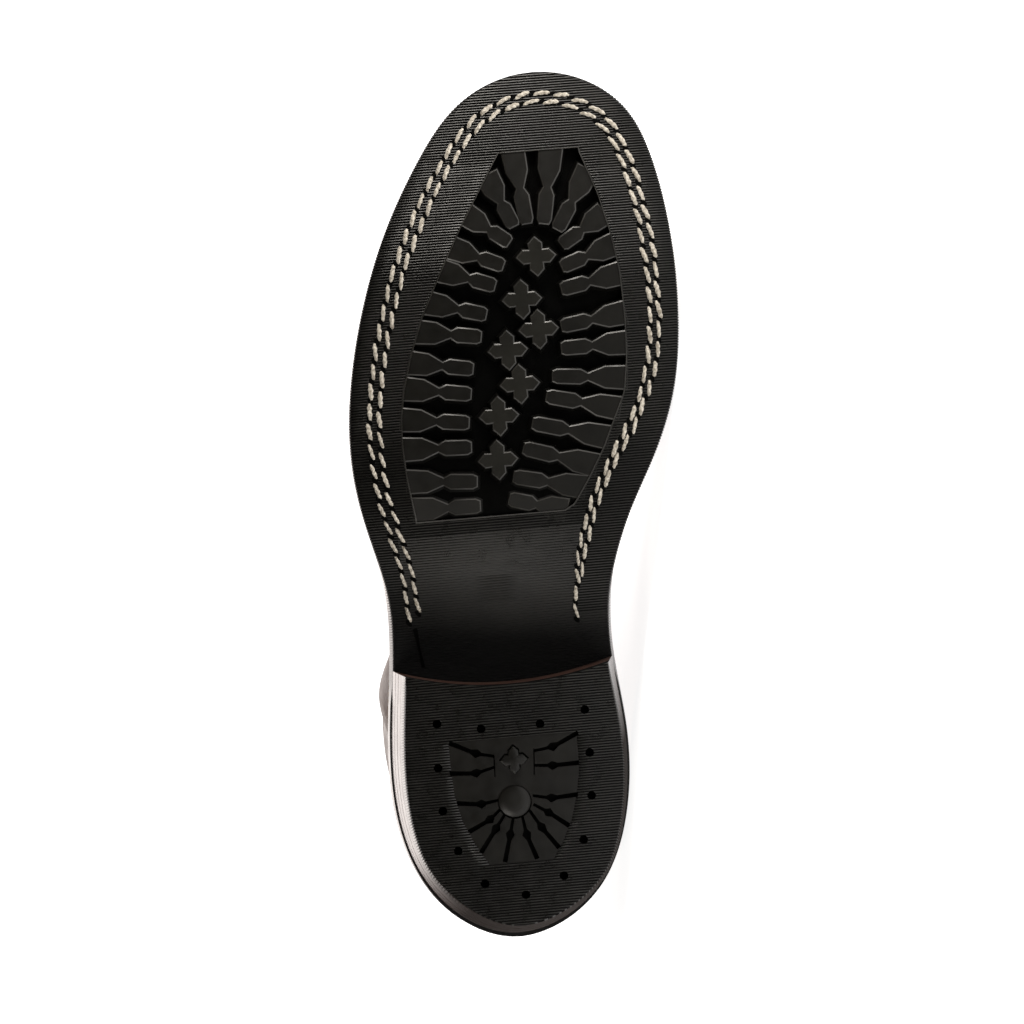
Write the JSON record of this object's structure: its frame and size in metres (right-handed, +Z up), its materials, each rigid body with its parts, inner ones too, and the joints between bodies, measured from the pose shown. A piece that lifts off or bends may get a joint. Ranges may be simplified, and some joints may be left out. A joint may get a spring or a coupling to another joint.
{
  "type": "packer boot",
  "caption": "Lace-up leather packer boot for the right foot with a tapered stacked heel and a lugged rubber sole, lying on its inner side.",
  "frame": {"origin": "centre of the bounding box's bottom face, on the floor", "axes": "+X from the heel to the toe, +Y from the sole to the collar, +Z up from the floor the boot lies on, towards its outer side"},
  "size_m": [0.3104, 0.2848, 0.1132],
  "materials": {
    "rubber": "matt",
    "stack": "polished",
    "sole_leather": "polished",
    "welt": "satin",
    "upper": "satin",
    "lining": "matt",
    "eyelet": "satin",
    "lace": "matt"
  },
  "bodies": {
    "root": {"backstay": "upper", "counter": "upper", "eyelet_lateral_1": "eyelet", "eyelet_lateral_2": "eyelet", "eyelet_lateral_3": "eyelet", "eyelet_lateral_4": "eyelet", "eyelet_lateral_5": "eyelet", "eyelet_lateral_6": "eyelet", "eyelet_lateral_7": "eyelet", "eyelet_medial_1": "eyelet", "eyelet_medial_2": "eyelet", "eyelet_medial_3": "eyelet", "eyelet_medial_4": "eyelet", "eyelet_medial_5": "eyelet", "eyelet_medial_6": "eyelet", "eyelet_medial_7": "eyelet", "eyestay_lateral": "upper", "eyestay_medial": "upper", "heel_lift_1": "stack", "heel_lift_2": "stack", "heel_lift_3": "stack", "heel_top_piece": "rubber", "insole": "lining", "lace": "lace", "midsole": "sole_leather", "outsole": "rubber", "tongue": "upper", "upper": "upper", "vamp": "upper", "welt": "welt"}
  },
  "joints": []
}
